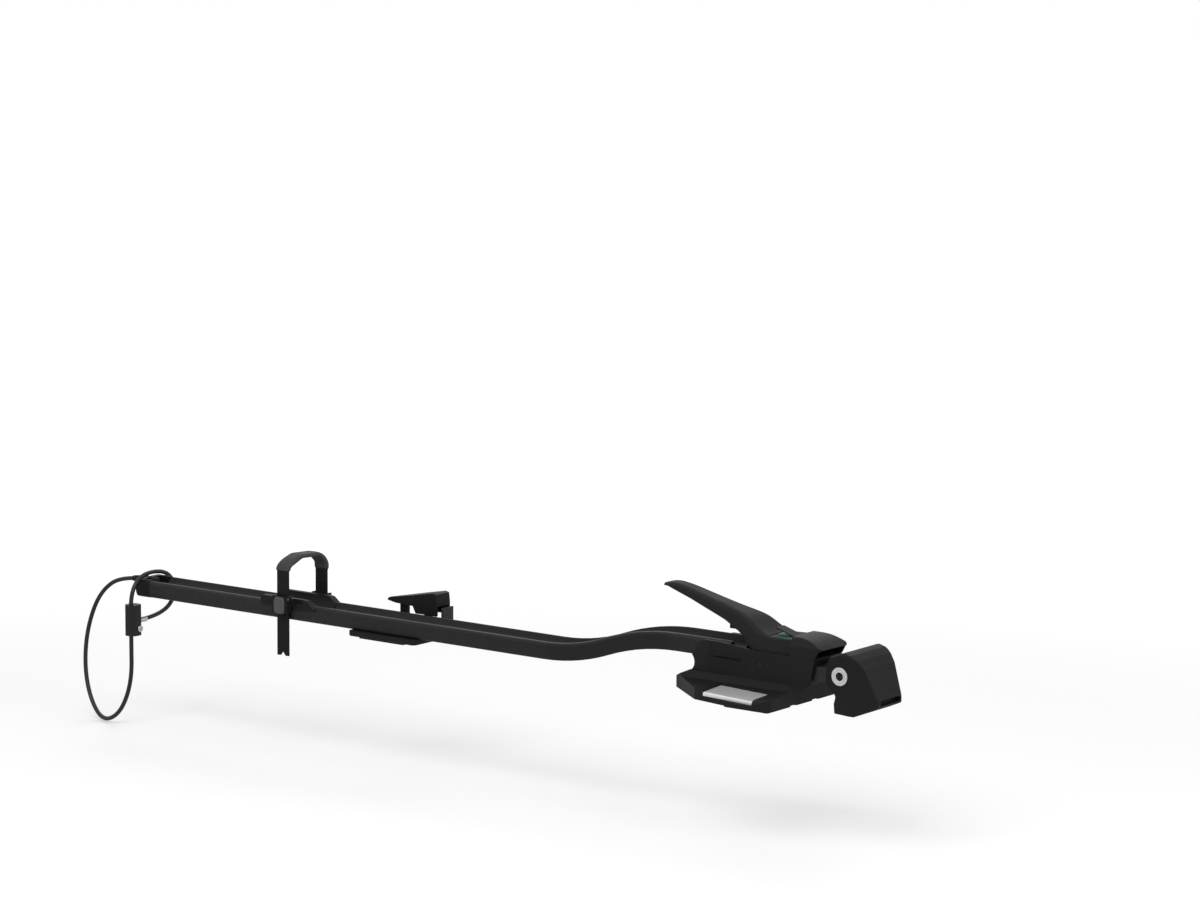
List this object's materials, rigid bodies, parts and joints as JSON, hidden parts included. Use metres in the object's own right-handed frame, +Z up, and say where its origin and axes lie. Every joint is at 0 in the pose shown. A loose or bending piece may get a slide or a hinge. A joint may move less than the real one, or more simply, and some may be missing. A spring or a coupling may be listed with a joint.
{
  "type": "roof mounted bike carrier",
  "caption": "Fork-mount roof bike carrier: a wheel tray with an axle block, crossbar clamps worked by cam levers, a sliding wheel strap and a cable lock.",
  "frame": {"origin": "middle of the head's seat: the top of the front crossbar, under the middle of the tray", "axes": "+X forward, from the tail to the axle block; +Y to the left, along the crossbars; +Z up"},
  "size_m": [1.5464, 0.208, 0.3524],
  "materials": {
    "black_plastic": "fine grained black moulding",
    "lever_plastic": "satin dark grey moulding",
    "tray_aluminium": "black anodised extrusion",
    "dark_chassis": "black coated casting",
    "plate_silver": "satin silver",
    "black_rubber": "matte",
    "plain_steel": "zinc plated",
    "black_steel": "black oxide",
    "strap_plastic": "smooth flexible black",
    "tab_grey": "grey moulding",
    "indicator_green": "green moulding",
    "cable_jacket": "smooth black jacket",
    "lock_shell": "black shell"
  },
  "bodies": {
    "carrier": {"wheel_tray": "tray_aluminium", "tail_cap": "black_plastic", "cable_grommet": "black_rubber", "cable_anchor": "plain_steel", "head_rear_shell": "black_plastic", "head_front_shell": "black_plastic", "head_top_cover": "black_plastic", "head_chassis": "dark_chassis", "foot_base": "black_plastic", "foot_plate_far": "plate_silver", "foot_plate_near": "plate_silver", "foot_pads": "black_rubber", "fork_block": "black_plastic", "axle_sleeve": "plain_steel", "axle_collars": "plain_steel", "housing_screws": "black_steel", "lock_cable": "cable_jacket", "lock_body": "lock_shell", "cable_ferrule": "plain_steel"},
    "front_draw": {"draw_bar": "plain_steel", "front_t_bolt": "plain_steel", "front_t_nut": "plain_steel"},
    "front_lever": {"clamp_lever": "lever_plastic", "lever_cams": "plain_steel", "lever_pin": "plain_steel", "lever_indicator": "indicator_green", "indicator_hood": "black_plastic"},
    "rear_clamp": {"rear_clamp_base": "black_plastic", "rear_clamp_pad": "black_rubber", "rear_slide_shoe": "black_plastic", "rear_shoe_screws": "black_steel", "rear_bracket": "black_steel", "rear_catch": "black_plastic"},
    "rear_draw": {"rear_draw_bar": "plain_steel", "rear_t_bolt": "plain_steel", "rear_t_nut": "plain_steel"},
    "rear_lever": {"rear_lever": "black_plastic", "rear_lever_cams": "plain_steel", "rear_lever_pin": "plain_steel"},
    "wheel_holder": {"wheel_holder": "black_plastic", "wheel_strap": "strap_plastic", "rim_pad": "black_rubber", "strap_anchor_pin": "plain_steel", "tab_pin": "plain_steel"},
    "buckle_tab": {"buckle_tab": "tab_grey"},
    "lock_core": {"lock_core": "plain_steel"}
  },
  "joints": [
    {"name": "front_draw_slide", "type": "slide", "parent": "carrier", "child": "front_draw", "axis": [0, 0, 1], "range_m": [-0.003, 0.001]},
    {"name": "front_lever_hinge", "type": "hinge", "parent": "front_draw", "child": "front_lever", "pos_m": [0.0165, 0, 0.083], "axis": [0, 1, 0], "range_deg": [-13, 60]},
    {"name": "rear_clamp_slide", "type": "slide", "parent": "carrier", "child": "rear_clamp", "axis": [1, 0, 0], "range_m": [-0.1, 0.19]},
    {"name": "rear_draw_slide", "type": "slide", "parent": "rear_clamp", "child": "rear_draw", "axis": [0, 0, 1], "range_m": [-0.003, 0.001]},
    {"name": "rear_lever_hinge", "type": "hinge", "parent": "rear_draw", "child": "rear_lever", "pos_m": [-0.688, 0.05, 0.05], "axis": [0, 1, 0], "range_deg": [0, 75]},
    {"name": "wheel_holder_slide", "type": "slide", "parent": "carrier", "child": "wheel_holder", "axis": [1, 0, 0], "range_m": [-0.235, 0.06]},
    {"name": "buckle_tab_hinge", "type": "hinge", "parent": "wheel_holder", "child": "buckle_tab", "pos_m": [-0.9175, -0.041, 0.045], "axis": [-1, 0, 0], "range_deg": [0, 35], "stiffness_Nm_per_rad": 0.05, "springref_deg": -8.59},
    {"name": "lock_core_turn", "type": "hinge", "parent": "carrier", "child": "lock_core", "pos_m": [-1.2285, -0.043, -0.039], "axis": [1, 0, 0], "range_deg": [0, 90]}
  ],
  "couplings": [
    {"joint": "front_draw_slide", "follows": "front_lever_hinge", "m_per_rad": -0.00248},
    {"joint": "rear_draw_slide", "follows": "rear_lever_hinge", "m_per_rad": -0.00177}
  ]
}
